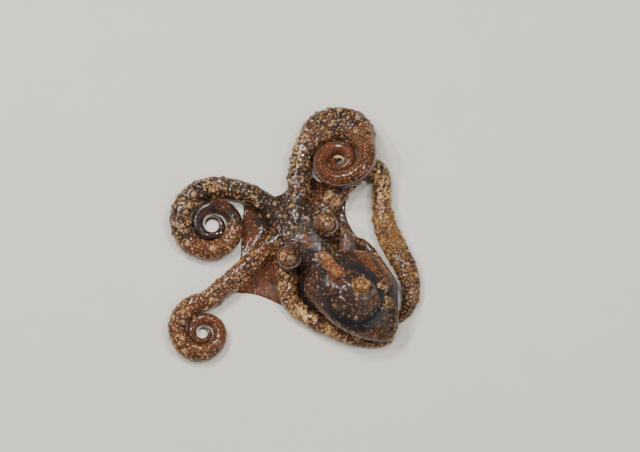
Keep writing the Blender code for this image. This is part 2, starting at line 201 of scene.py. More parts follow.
STEP = 0.42  # between the field's points
REACH = 4.0  # how far from a surface its distances are worked out
ARM_STEP = 1.5  # along an arm, between the balls that it is made of
NO_RUN = 1e3  # stands for a length along an arm where there is none
rng = np.random.default_rng(7)


# ---- small helpers


def body_point(u, v, z):
    """A point of the body's axes in the model's own."""
    flat = HEAD_CENTRE - FORWARD * u + RIGHT * v
    return np.array((flat[0], flat[1], z))


FINGER_BASE, FINGER_TIP = body_point(*PAPILLAE[0][0]), body_point(*PAPILLAE[0][1])
FINGER_REACH = 5.0  # how far from its line the skin is still the finger's
TUBERCLE = body_point(*PAPILLAE[1][1])


def body_axes(x, y):
    """u and v of points of the floor plan."""
    x, y = x - HEAD_CENTRE[0], y - HEAD_CENTRE[1]
    return -(x * FORWARD[0] + y * FORWARD[1]), x * RIGHT[0] + y * RIGHT[1]


def on_side(point, side):
    """A point of the body's axes, on the right for 1 or mirrored to the left for -1."""
    u, v, z = point
    return body_point(u, v * side, z)


def unit(vector):
    return vector / np.linalg.norm(vector)


def eye_at(side):
    """An eye's centre, and the way that it looks."""
    centre = on_side(EYE_CENTRE, side)
    return centre, unit(centre - on_side(TURRET_CENTRE, side))


def place(points):
    """Points of the model's own axes, in millimetres, in the frame's, in metres."""
    return (np.asarray(points) - BASE_MIDDLE) * MM


def smooth_min(a, b, k):
    """The lesser of two distances, rounded over k where they meet."""
    h = np.maximum(k - np.abs(a - b), 0) / k
    return np.minimum(a, b) - h * h * k / 4


def smooth_max(a, b, k):
    return -smooth_min(-a, -b, k)


def smooth_step(x, low, high):
    t = np.clip((x - low) / (high - low), 0, 1)
    return t * t * (3 - 2 * t)


def fade(x, low, high):
    """1 up to low, falling to 0 at high."""
    return 1 - smooth_step(x, low, high)


class Noise:
    """Smooth random values between -1 and 1 on points in space."""

    SIZE = 32

    def __init__(self, seed):
        self.table = np.random.default_rng(seed).uniform(-1, 1, (self.SIZE,) * 3).astype(np.float32)

    def __call__(self, points, scale):
        at = np.asarray(points, np.float32) / scale
        cell = np.floor(at).astype(np.int32)
        t = at - cell
        t = t * t * (3 - 2 * t)
        total = 0
        for corner in np.ndindex(2, 2, 2):
            weight = 1
            for axis in range(3):
                weight = weight * (t[:, axis] if corner[axis] else 1 - t[:, axis])
            i, j, k = ((cell + corner) % self.SIZE).T
            total = total + self.table[i, j, k] * weight
        return total

    def layered(self, points, scale, octaves=3):
        return sum(self(points + 17.3 * i, scale / 2**i) / 2**i for i in range(octaves)) / 1.6


# ---- the arms' lines


class Arm:
    """An arm's centre line by length from its root."""

    def __init__(self, name):
        heading, self.root_width, route = ARMS[name]
        way = np.array((*turned(math.radians(heading)), 0))
        start = [CROWN_CENTRE + way * ARM_START, CROWN_CENTRE + way * ARM_STRAIGHT]
        points = np.array(start + [(*p, 0)[:3] for p in route])
        ends = np.vstack((points[0] * 2 - points[1], points, points[-1] * 2 - points[-2]))
        t = np.arange(12)[:, None] / 12
        line = []
        for a, b, c, d in zip(ends, ends[1:], ends[2:], ends[3:]):
            bend, twist = a * 2 - b * 5 + c * 4 - d, b * 3 - a - c * 3 + d
            line.append(0.5 * (b * 2 + (c - a) * t + bend * t**2 + twist * t**3))
        self.line = np.vstack((*line, points[-1]))
        steps = np.linalg.norm(np.diff(self.line, axis=0), axis=1)
        self.run = np.concatenate(((0,), np.cumsum(steps)))
        self.length = self.run[-1]
        self.strap = ARM_STRAPS.get(name, NO_STRAP)

    def thickness(self, at):
        return arm_half_width(self.root_width, self.length - at)

    def half_width(self, at):
        middle, reach, more = self.strap
        return self.thickness(at) * (1 + more * np.exp(-(((at - middle) / reach) ** 4)))

    def on_floor(self, at):
        return np.stack([np.interp(at, self.run, part) for part in self.line.T], -1)

    def middle(self, at):
        points = self.on_floor(at)
        points[..., 2] += ARM_REST * self.thickness(at)
        return points

    def side(self, at):
        """The level direction to the arm's right."""
        ahead = self.on_floor(at + 0.4) - self.on_floor(at - 0.4)
        side = np.stack((ahead[..., 1], -ahead[..., 0], np.zeros_like(ahead[..., 0])), -1)
        return side / np.maximum(np.linalg.norm(side, axis=-1, keepdims=True), 1e-9)


arms = {name: Arm(name) for name in ARMS}


# ---- the field of distances


class Field:
    """Distances on a box of points STEP apart."""

    def __init__(self, low, high):
        self.low = low
        self.shape = tuple(np.ceil((high - low) / STEP).astype(int) + 1)

    def axes(self, window):
        """The x, y and z of a window of points, each shaped to spread over the others."""
        lines = [low + STEP * np.arange(cut.start, cut.stop) for low, cut in zip(self.low, window)]
        return np.meshgrid(*(line.astype(np.float32) for line in lines), indexing="ij", sparse=True)

    def window(self, low, high):
        first = np.floor((np.array(low) - self.low) / STEP).astype(int)
        last = np.ceil((np.array(high) - self.low) / STEP).astype(int) + 1
        return tuple(slice(max(0, a), max(0, min(n, b))) for a, b, n in zip(first, last, self.shape))


def arm_field(grid):
    """The distance to the nearest arm, and which of the arms' short lengths that is."""
    near = np.full(grid.shape, REACH, np.float32)
    owner = np.full(grid.shape, -1, np.int16)
    lengths = []
    for number, arm in enumerate(arms.values()):
        stops = np.append(np.arange(0, arm.length, ARM_STEP), arm.length)
        middle = arm.middle(stops).astype(np.float32)
        widths = arm.half_width(stops)
        flatness = ARM_FLATNESS * arm.thickness(stops) / widths
        for i in range(len(stops) - 1):
            a, b, width = middle[i], middle[i + 1], widths[i]
            spread = width + REACH * 0.8
            window = grid.window(np.minimum(a, b) - spread, np.maximum(a, b) + spread)
            x, y, z = grid.axes(window)
            flat = (flatness[i] + flatness[i + 1]) / 2
            x, y, z = x - a[0], y - a[1], (z - a[2]) / flat
            step = (b - a) / (1, 1, flat)
            t = np.clip((x * step[0] + y * step[1] + z * step[2]) / (step @ step), 0, 1).astype(np.float32)
            distance = ball_field(x, y, z, [t * part for part in step], 0)
            distance -= width + t * (widths[i + 1] - width)
            nearer = distance < near[window]
            np.copyto(near[window], distance, where=nearer)
            np.copyto(owner[window], len(lengths), where=nearer)
            lengths.append((number, stops[i], width))
    return near, owner, np.array(lengths)


def web_heights(grid):
    """How high the web stands over each point of the floor, and -1 where there is none."""
    heights = np.full(grid.shape[:2], -1.0, np.float32)
    share, across = np.meshgrid(np.linspace(0, 1, 200), np.linspace(0, 1, 160), indexing="ij")
    middle = 4 * across * (1 - across)
    height = (WEB_ROOT + (WEB_EDGE - WEB_ROOT) * share) * (1 - WEB_SAG * middle)
    height = height + np.sin(across * 21 + 3 * np.sin(across * 5)) * 0.12 * share * middle
    for first, second, reach_a, reach_b, dip in WEBS:
        out = share * (1 - dip * middle)
        a = arms[first].on_floor(reach_a * out)
        b = arms[second].on_floor(reach_b * out)
        point = a + (b - a) * across[..., None]
        i, j = np.rint((point[..., :2] - grid.low[:2]) / STEP).astype(int).reshape(-1, 2).T
        np.maximum.at(heights, (i, j), height.ravel())
    h = heights
    for _ in range(4):
        beside = h[:-2, 1:-1], h[2:, 1:-1], h[1:-1, :-2], h[1:-1, 2:]
        h[1:-1, 1:-1] = sum(beside, h[1:-1, 1:-1] * 2) / 6
    return heights


def section_values(sections, u):
    """The sections' values at u, on a smooth line through them."""
    table = np.array(sections)
    fine = np.linspace(table[0, 0], table[-1, 0], 200)
    values = []
    for column in table.T[1:]:
        slopes = np.gradient(column, table[:, 0])
        i = np.clip(np.searchsorted(table[:, 0], fine, side="right") - 1, 0, len(table) - 2)
        width = np.diff(table[:, 0])[i]
        t = (fine - table[i, 0]) / width
        a, b = column[i], column[i + 1]
        line = a * (2 * t**3 - 3 * t**2 + 1) + b * (3 * t**2 - 2 * t**3)
        line += (slopes[i] * (t**3 - 2 * t**2 + t) + slopes[i + 1] * (t**3 - t**2)) * width
        values.append(np.interp(u, fine, line))
    return values


def evened(value):
    """A field's values over their steepness, which makes them nearly distances."""
    steep = np.sqrt(sum(part**2 for part in np.gradient(value, STEP)))
    return value / np.maximum(steep, 0.02)


def loft_field(sections, u, v, z):
    """The distance to a body of oval sections, nearly true close to its surface."""
    middle, half, low, high, lean = section_values(sections, u)
    waist = low + (high - low) * BODY_WAIST
    rise = (z - waist) / np.where(z > waist, high - waist, waist - low)
    across = (v - middle - lean * np.clip(rise, 0, 1)) / half
    distance = evened(np.sqrt(across**2 + rise**2) - 1)
    ends = np.maximum(sections[0][0] - u, u - sections[-1][0])
    return smooth_max(distance, ends, 1.5)


def ball_field(x, y, z, centre, radius):
    return np.sqrt((x - centre[0]) ** 2 + (y - centre[1]) ** 2 + (z - centre[2]) ** 2) - radius


def along(x, y, z, start, way):
    """How far points lie from the start, measured in the direction of way."""
    return (x - start[0]) * way[0] + (y - start[1]) * way[1] + (z - start[2]) * way[2]


def cone_field(x, y, z, base, tip, base_radius, tip_radius):
    """The distance to a tapered finger with round ends."""
    step = tip - base
    x, y, z = x - base[0], y - base[1], z - base[2]
    t = np.clip((x * step[0] + y * step[1] + z * step[2]) / (step @ step), 0, 1)
    return ball_field(x, y, z, [t * part for part in step], base_radius + t * (tip_radius - base_radius))


def body_field(grid):
    """The distance to the head and that to the mantle, in a window round them."""
    window = grid.window(*BODY_BOX)
    x, y, z = grid.axes(window)
    u, v, z_all = np.broadcast_arrays(*body_axes(x, y), z)
    head = loft_field(HEAD_SECTIONS, u, v, z_all)
    mantle = loft_field(MANTLE_SECTIONS, u, v, z_all)
    mantle = smooth_max(mantle, COLLAR + 0.05 * v - u, 1.2)
    for side in (1, -1):
        head = smooth_min(head, ball_field(x, y, z, on_side(TURRET_CENTRE, side), TURRET_RADIUS), 3.0)
        eye, look = eye_at(side)
        head = smooth_max(head, -ball_field(x, y, z, eye, EYE_RADIUS - 0.1), 0.5)
        # The lid is a ring round the opening.
        out = along(x, y, z, eye, look)
        from_eye = ball_field(x, y, z, eye, 0)
        ring = np.sqrt(np.maximum(from_eye**2 - out**2, 0)) - (EYE_OPENING + 0.45)
        rim = math.sqrt(EYE_RADIUS**2 - EYE_OPENING**2)
        lid = np.sqrt(ring**2 + (out - rim) ** 2) - LID_RADIUS
        head = smooth_min(head, lid, 0.7)
    for base, tip, wide, narrow in PAPILLAE:
        papilla = cone_field(x, y, z, body_point(*base), body_point(*tip), wide, narrow)
        mantle = smooth_min(mantle, papilla, 2.0)
    base, mouth = body_point(*FUNNEL_BASE), body_point(*FUNNEL_MOUTH)
    axis = unit(mouth - base)
    funnel = cone_field(x, y, z, base, mouth - axis * 4.2, *FUNNEL_RADII)
    bore = cone_field(x, y, z, mouth - axis * FUNNEL_DEPTH, mouth + axis * 2, FUNNEL_BORE * 0.7, FUNNEL_BORE)
    funnel = smooth_max(smooth_max(funnel, along(x, y, z, mouth, axis), 1.5), -bore, 1.2)
    head = smooth_min(head, funnel, 2.2)
    return window, head.astype(np.float32), mantle.astype(np.float32)


def crown_field(grid):
    window = grid.window(*CROWN_BOX)
    x, y, z = grid.axes(window)
    flat = ((x - CROWN_CENTRE[0]) ** 2 + (y - CROWN_CENTRE[1]) ** 2) / CROWN_RADIUS**2
    return window, evened(np.sqrt(flat + (z / CROWN_HEIGHT) ** 2) - 1).astype(np.float32)


def octopus_field(grid):
    """The whole animal's distances, and those of its parts that say what a point belongs to."""
    arm, owner, lengths = arm_field(grid)
    heights = web_heights(grid)[..., None]
    run = np.where(owner >= 0, lengths[owner, 1], NO_RUN).astype(np.float32)
    z = grid.axes([slice(0, n) for n in grid.shape])[2]
    slope = np.sqrt(1 + sum(part**2 for part in np.gradient(np.maximum(heights[..., 0], 0), STEP)))
    web = np.where(heights > -1, (z - heights) / slope[..., None], REACH).astype(np.float32)
    window, crown = crown_field(grid)
    web[window] = smooth_min(web[window], crown, 3.0)
    melt = 0.2 + 2.4 * fade(run, 56, 74) + 3.0 * fade(run, 4, 20)
    whole = smooth_min(arm, web, melt)
    underside = np.clip(UNDERSIDE * lengths[owner, 2], 0.1, 0.9).astype(np.float32)
    on_web = smooth_step(arm - web, -1.5, 0.5)
    floor = np.where(owner >= 0, underside * (1 - on_web) + WEB_UNDERSIDE * on_web, WEB_UNDERSIDE)
    whole = smooth_max(whole, floor - z, 0.8)
    window, head, mantle = body_field(grid)
    whole[window] = smooth_min(whole[window], head, 2.2)
    whole[window] = smooth_min(whole[window], mantle, 0.5)
    return whole, arm, owner, lengths, web, (window, head, mantle)


# ---- the surface of a field


def surface(grid, field):
    """The surface where the field is 0, as vertices and four-sided faces that point outwards."""
    inside = field < 0
    shape = np.array(field.shape) - 1
    corners = list(np.ndindex(2, 2, 2))
    count = np.zeros(shape, np.uint8)
    for corner in corners:
        count += inside[tuple(slice(i, i + n) for i, n in zip(corner, shape))]
    cells = np.argwhere((count > 0) & (count < 8)).astype(np.int32)
    index = np.full(shape, -1, np.int32)
    index[tuple(cells.T)] = np.arange(len(cells))
    total, hits = np.zeros((len(cells), 3), np.float32), np.zeros(len(cells), np.float32)
    values = {c: field[tuple((cells + c).T)] for c in corners}
    for first in corners:
        for axis in range(3):
            if first[axis]:
                continue
            a, b = values[first], values[tuple(np.add(first, np.eye(3, dtype=int)[axis]))]
            cross = (a < 0) != (b < 0)
            at = np.tile(np.array(first, np.float32), (len(cells), 1))
            at[:, axis] = np.where(cross, a / np.where(cross, a - b, 1), 0)
            total += at * cross[:, None]
            hits += cross
    vertices = grid.low + STEP * (cells + total / hits[:, None])
    faces = []
    for axis in range(3):
        one, two = (axis + 1) % 3, (axis + 2) % 3
        low, high = (np.take(inside, range(i, shape[axis] + i), axis) for i in (0, 1))
        edges = np.argwhere(low != high)
        for side in (one, two):
            edges = edges[(edges[:, side] > 0) & (edges[:, side] < shape[side])]
        quad = []
        for back_one, back_two in ((1, 1), (0, 1), (0, 0), (1, 0)):
            cell = edges.copy()
            cell[:, one] -= back_one
            cell[:, two] -= back_two
            quad.append(index[tuple(cell.T)])
        quad = np.stack(quad, 1)
        outwards = low[tuple(edges.T)]
        quad[~outwards] = quad[~outwards, ::-1]
        faces.append(quad)
    return vertices, np.concatenate(faces)


def main_body(vertices, faces):
    """The vertices and faces without any crumbs that touch nothing."""
    label, before = np.arange(len(vertices)), None
    while not np.array_equal(label, before):
        before = label.copy()
        least = label[faces].min(1)
        for corner in range(4):
            np.minimum.at(label, faces[:, corner], least)
        for _ in range(3):
            label = label[label]
    held = label == np.bincount(label).argmax()
    number = np.cumsum(held) - 1
    return vertices[held], number[faces[held[faces[:, 0]]]]


def normals_of(vertices, faces):
    p = vertices[faces]
    normal = np.cross(p[:, 2] - p[:, 0], p[:, 3] - p[:, 1])
    total = np.zeros_like(vertices)
    for corner in range(4):
        for axis in range(3):
            total[:, axis] += np.bincount(faces[:, corner], normal[:, axis], len(vertices))
    return total / np.maximum(np.linalg.norm(total, axis=1, keepdims=True), 1e-9)


def add_object(name, data):
    made = bpy.data.objects.new(name, data)
    bpy.context.scene.collection.objects.link(made)
    return made


def mesh_object(name, vertices, faces, material):
    """An object of four-sided faces."""
    data = bpy.data.meshes.new(name)
    data.vertices.add(len(vertices))
    data.vertices.foreach_set("co", place(vertices).astype(np.float32).ravel())
    data.loops.add(faces.size)
    data.loops.foreach_set("vertex_index", faces.astype(np.int32).ravel())
    data.polygons.add(len(faces))
    data.polygons.foreach_set("loop_start", np.arange(len(faces), dtype=np.int32) * 4)
    data.polygons.foreach_set("loop_total", np.full(len(faces), 4, np.int32))
    data.update(calc_edges=True)
    data.shade_smooth()
    data.materials.append(material)
    return add_object(name, data)


# ---- warts and markings


HUMP_CENTRE, HUMP_SIZE = (43.5, -3.6), (17.5, 14.0)
WARTS = (
    # name, spacing, radius, height, how warty the skin has to be
    ("large", 6.0, 2.5, 1.05, 0.5),
    ("middling", 3.1, 1.35, 0.5, 0.3),
    ("small", 1.8, 0.8, 0.22, 0.12),
)
SKIN_DEPTH = 0.35  # how far the smooth skin lies inside the solids, for its warts to stand in
BOX_MARGIN = 0.02  # how far inside the solids' box the warts end
ROWS_APART = 400  # keeps each arm's pattern of dots apart from the others'


def tree_of(points):
    tree = KDTree(len(points))
    for i, point in enumerate(points):
        tree.insert(point, i)
    tree.balance()
    return tree


def spread_points(candidates, spacing):
    """Numbers of the candidates left when none is nearer to another than the spacing."""
    cells = np.floor(candidates / spacing).astype(np.int64)
    keys = (cells[:, 0] * 4096 + cells[:, 1]) * 4096 + cells[:, 2]
    order = rng.permutation(len(candidates))
    _, first = np.unique(keys[order], return_index=True)
    chosen = np.sort(order[first])
    tree = tree_of(candidates[chosen])
    kept = np.ones(len(chosen), bool)
    for i, point in enumerate(candidates[chosen]):
        if kept[i]:
            for _, other, _ in tree.find_range(point, spacing):
                if other > i:
                    kept[other] = False
    return chosen[kept]


def nearest(points, centres):
    """For each point the number of the nearest centre and how far it is."""
    tree = tree_of(centres)
    found = np.array([tree.find(point)[1:] for point in points])
    return found[:, 0].astype(int), found[:, 1]


def on_arm(line, points, run):
    """Where points are on an arm: the run, across and above its line, and past its ends."""
    for _ in range(6):
        ahead = line.middle(run + 0.7) - line.middle(run - 0.7)
        ahead /= np.maximum(np.linalg.norm(ahead, axis=1, keepdims=True), 1e-6)
        run = np.clip(run + 0.6 * ((points - line.middle(run)) * ahead).sum(1), 0, line.length)
    out = points - line.middle(run)
    return run, (out * line.side(run)).sum(1), out[:, 2], (out * ahead).sum(1)


class Places:
    """What each vertex of the skin belongs to, and where on it that is."""

    def __init__(self, grid, vertices, fields):
        arm, owner, lengths, web, (window, head, mantle) = fields
        cell = np.rint((vertices - grid.low) / STEP).astype(int)
        at = tuple(np.clip(cell, 0, np.array(grid.shape) - 1).T)
        inner = cell - [cut.start for cut in window]
        held = np.all((inner >= 0) & (inner < head.shape), axis=1)
        inner = tuple(np.clip(inner, 0, np.array(head.shape) - 1).T)
        body = [np.where(held, part[inner], REACH) for part in (head, mantle)]
        kind = np.stack((arm[at], web[at], *body)).argmin(0)
        self.arm, self.web, self.head, self.mantle = (kind == i for i in range(4))
        self.near_web = fade(web[at], 0.6, 2.2)
        self.u, self.v = body_axes(vertices[:, 0], vertices[:, 1])
        self.number = np.where(owner[at] >= 0, lengths[owner[at], 0], -1).astype(int)
        self.run = lengths[owner[at], 1].copy()
        self.across, self.up, self.width = np.zeros((3, len(vertices)))
        self.width += 1
        for i, line in enumerate(arms.values()):
            mine = self.number == i
            run, self.across[mine], self.up[mine], _ = on_arm(line, vertices[mine], self.run[mine])
            self.run[mine], self.width[mine] = run, line.half_width(run)
        self.angle = np.arctan2(self.up / ARM_FLATNESS, self.across)

    def on(self, name):
        return self.arm & (self.number == list(ARMS).index(name))


def near(points, x, y, radius):
    """1 at (x, y) of the floor plan, falling to 0 at the radius."""
    return fade(np.hypot(points[:, 0] - x, points[:, 1] - y) / radius, 0.55, 1)


def between(value, low, high, soft):
    """1 between low and high, falling to 0 within soft of them."""
    return smooth_step(value, low - soft, low + soft) * fade(value, high - soft, high + soft)


def line_at(value, at, width):
    return np.exp(-(((value - at) / width) ** 2))


class Marks:
    """The amounts of the skin's colours at its vertices, by name."""

    NAMES = ("dark", "cream", "warm", "gold", "slate", "mauve", "dots", "warty", "rim", "black")

    def __init__(self, points):
        self.amounts = {name: np.zeros(len(points)) for name in self.NAMES}
        self.broad = Noise(11).layered(points, 9.0)
        self.patch = Noise(12).layered(points, 5.0, 2)

    def put(self, where, **amounts):
        """Sets amounts as far as where says. A pair is a number and how much it varies by noise."""
        share = np.asarray(where, float)
        for name, amount in amounts.items():
            if isinstance(amount, tuple):
                amount = amount[0] + amount[1] * (self.broad if name == "dark" else self.patch)
            self.amounts[name] += share * (amount - self.amounts[name])


def paint_arms(marks, places):
    """Each arm's colours, by lengths along it."""

    def stretch(name, low, high, soft, where=1, **amounts):
        marks.put(places.on(name) * between(places.run, low, high, soft) * where, **amounts)

    # The first right arm: cream and black up its outer length, then red with rows of pale dots.
    stretch("arm_r1", -10, 55, 8, cream=(0.36, 0.22), dark=(0.68, 0.3), warty=1.0, dots=0.4)
    stretch("arm_r1", 55, 98, 8, cream=(0.26, 0.4), dark=(0.54, 0.4), dots=0.95, warm=0.25)
    stretch("arm_r1", 66, 98, 6, places.across > 2.5, cream=0.0, dots=1.0, warty=0.5)
    stretch("arm_r1", 98, 400, 6, cream=(0.08, 0.3), dark=(0.34, 0.25), dots=1.0, warty=0.12, warm=0.3)
    stretch("arm_r1", 150, 400, 8, dark=0.05, dots=0.35, warm=0.45, warty=0.05, cream=0.0)
    stretch("arm_r1", 204, 400, 2, cream=0.9, warm=0.3)
    stretch("arm_r1", 104, 176, 4, line_at(places.angle, 2.62, 0.10), rim=0.45)

    # The second: cream at its bend, then olive and golden.
    stretch("arm_r2", 48, 76, 5, cream=(0.42, 0.25), dark=(0.64, 0.3), warty=1.0, dots=0.4)
    stretch("arm_r2", 78, 400, 7, cream=(0.22, 0.3), dark=(0.26, 0.35), gold=0.85, dots=0.95)
    stretch("arm_r2", 108, 400, 9, cream=(0.14, 0.3), dark=(0.58, 0.35), gold=0.5)

    # The first left arm: cream stars over dark, then a red dotted length, then a smooth brown coil.
    stretch("arm_l1", 22, 100, 8, cream=(0.30, 0.22), dark=(0.70, 0.35), warty=1.0, dots=0.5)
    stretch("arm_l1", 100, 400, 8, cream=(0.16, 0.3), dark=(0.30, 0.3), dots=1.0, warm=0.3)
    stretch("arm_l1", 138, 400, 6, cream=0.0, dark=(0.62, 0.25), dots=0.22, warty=0.12, warm=0.35)

    marks.put(places.on("arm_l2"), cream=(0.28, 0.35), dark=(0.34, 0.3), warm=0.3, dots=0.6)
    stretch("arm_l2", 118, 400, 6, cream=0.05, dots=0.5, warty=0.2, warm=0.4)
    marks.put(places.on("arm_l3"), cream=(0.40, 0.4), dark=(0.42, 0.3), warm=0.2)


def paint_web(marks, places, points):
    """The web is smooth, and orange to the left of the head, with painted shade beside the mantle."""
    web, put = places.web, marks.put
    left_web = web * np.clip(near(points, -14, -18, 26) + near(points, -18, -44, 26), 0, 1)
    put(left_web, warm=0.62, cream=(0.08, 0.2), dark=(0.42, 0.3), warty=0.5, dots=0.4)
    put(web * fade(points[:, 2], 2.0, 4.0), warty=0.06, cream=0.05)
    # Painted shade on the web beside the mantle's left flank: dark and slate.
    put(web * near(points, 8, -50, 18), dark=0.85, cream=0.0, slate=0.5, warm=0.0, warty=0.2)

    # Round the crown the skin is dark, with big tan warts.
    crown = near(points, -8, 1, 26) * (places.arm | web)
    put(crown, dark=(0.62, 0.4), cream=(0.12, 0.3), dots=0.22, warm=0.25)
    put(crown * (web | (places.run < 26)), warty=0.9)


def paint_head(marks, places, z, level):
    """The head is dark and smooth, with a thin pale line along its front edge and round its turrets.

    z is the points' height, and level is how far they face upwards.
    """
    head, u, v, put = places.head, places.u, places.v, marks.put
    put(head, dark=(0.72, 0.6), cream=(0.04, 0.3), dots=0.25, warty=0.4, warm=0.3, slate=0.0, mauve=0.05)
    du, dv = u - TURRET_CENTRE[0], np.abs(v) - TURRET_CENTRE[1]
    from_turret = np.hypot(du, dv)
    turret = head * fade(from_turret, 6.6, 7.6) * (z > TURRET_CENTRE[2])
    put(turret, dark=(0.5, 0.4), warm=0.3, gold=0.1, dots=0.35, slate=0.0, warty=0.45)
    # Tan mottles run from the eye over the turret's outer half.
    put(turret * fade(from_turret, 5.0, 6.4) * smooth_step(dv, -2.0, 1.0), cream=0.41, dark=0.34)
    outward = smooth_step(dv + 0.5 * np.abs(du), -5.0, -1.0)
    put(head * line_at(from_turret, 6.9, 0.3) * (z > 17.0) * outward * level, rim=(0.62, 0.5))
    front = line_at(u, -8.6 - 0.25 * np.sin(v * 0.8), 0.38) * (np.abs(v) < 10.5)
    put(head * front * (z > 14.5) * level, rim=(0.6, 0.5))


def paint_funnel(marks, places, points):
    """The funnel is a plain mauve, with a pale painted highlight round its mouth."""
    base, mouth = body_point(*FUNNEL_BASE), body_point(*FUNNEL_MOUTH)
    axis = unit(mouth - base)
    out = points - base
    ahead = out @ axis
    beside = np.linalg.norm(out - ahead[:, None] * axis, axis=1)
    funnel = places.head * (beside < FUNNEL_RADII[0] + 0.6) * between(ahead, 0, 30, 1.0)
    marks.put(funnel, dark=(0.38, 0.4), mauve=0.5, slate=0.0, dots=0.15, warty=0.16, warm=0.1)
    # A pale painted highlight round the funnel's mouth.
    marks.put(funnel * line_at(ahead, np.linalg.norm(mouth - base) - 0.8, 0.5), rim=0.45)


def paint_mantle(marks, places, points, normals):
    """The mantle has a red warty hump, a furrow round it with painted navy shade, and a brown skirt."""
    mantle, u, v, put = places.mantle, places.u, places.v, marks.put
    put(mantle, dark=(0.62, 0.3), cream=0.0, slate=0.4, warm=0.1, dots=0.12, warty=0.25, gold=0.0)
    ring = hump_ring(u, v) + 0.07 * marks.patch + 0.10 * marks.broad
    # Painted shade fills the furrow, most at the back and on the right side.
    shaded_low_side = smooth_step(u + 0.6 * np.abs(v), 48, 60) * (v < 14)
    sides = np.maximum(shaded_low_side, smooth_step(v, 2, 9) * fade(u, 46, 54))
    furrow = mantle * between(ring, 0.98, 1.26, 0.08) * (0.35 + 0.65 * sides)
    put(furrow, slate=0.95, dark=0.35, black=0.55 * shaded_low_side, dots=0.03, warty=0.05)
    skirt = mantle * smooth_step(ring, 1.22, 1.36)
    put(skirt * (v < 12), warm=0.25, dark=(0.45, 0.3), slate=0.25, gold=0.2, warty=0.4, cream=0.1)
    right_skirt = skirt * smooth_step(v, 9, 14) * (u < 50)
    put(right_skirt, warm=0.7, dark=0.48, gold=0.25, slate=0.0, warty=0.12, dots=0.4)
    pale_side = sum(near(points, *body_point(*spot, 0)[:2], 7) for spot in ((50, 15), (60, 8)))
    put(mantle * np.clip(pale_side, 0, 1), gold=0.45, cream=(0.36, 0.4), dark=0.5)
    hump = mantle * fade(ring, 0.88, 1.0)
    put(hump, dark=(0.64, 0.35), cream=(0.04, 0.25), slate=0.0, warm=0.4, dots=0.14, warty=1.0, black=0)
    put(mantle * near(points, *TUBERCLE[:2], 7.0), gold=0.7, cream=(0.16, 0.4), dark=0.35)
    t, from_finger = on_finger(points)
    finger = mantle * (from_finger < FINGER_REACH) * smooth_step(t, 0.08, 0.3)
    put(finger, dark=(0.12, 0.3), warm=1.0, slate=0.0, cream=(0.12, 0.4), dots=0.6, warty=1.0, black=0)
    put(mantle * (1 - finger) * line_at(u, COLLAR + 0.3 + 0.05 * v, 0.4), rim=0.5)
    # A pale painted sheen, with slate, along the mantle's steep sides.
    put(mantle * line_at(normals[:, 2], 0.12, 0.14) * ((v > 6) | (u < 24)), rim=0.55, slate=0.6)


def paint(places, points, normals):
    """The amounts of the skin's colours, and how warty it is."""
    marks = Marks(points)
    marks.put(True, dark=(0.42, 0.3), cream=(0.30, 0.35), dots=0.55, warty=0.8, warm=0.15)
    paint_arms(marks, places)
    paint_web(marks, places, points)
    paint_head(marks, places, points[:, 2], smooth_step(normals[:, 2], 0.1, 0.45))
    paint_funnel(marks, places, points)
    paint_mantle(marks, places, points, normals)
    # Undersides are paler and plain.
    below = smooth_step(-normals[:, 2], 0.2, 0.7) * (places.arm | places.web)
    marks.put(below, dark=0.1, cream=0.2, dots=0.1, warty=0.0, warm=0.3)
    amounts = {name: np.clip(value, 0, 1) for name, value in marks.amounts.items()}
    warty = amounts.pop("warty")
    return amounts, warty


def on_finger(points):
    """How far along the long papilla points are, from 0 to 1, and how far from its line."""
    way = FINGER_TIP - FINGER_BASE
    t = np.clip(((points - FINGER_BASE) @ way) / (way @ way), 0, 1)
    return t, np.linalg.norm(points - FINGER_BASE - t[:, None] * way, axis=1)


def hump_ring(u, v):
    """How far out a point of the mantle is from its hump's middle: 1 at the hump's edge."""
    return np.hypot((u - HUMP_CENTRE[0]) / HUMP_SIZE[0], (v - HUMP_CENTRE[1]) / HUMP_SIZE[1])


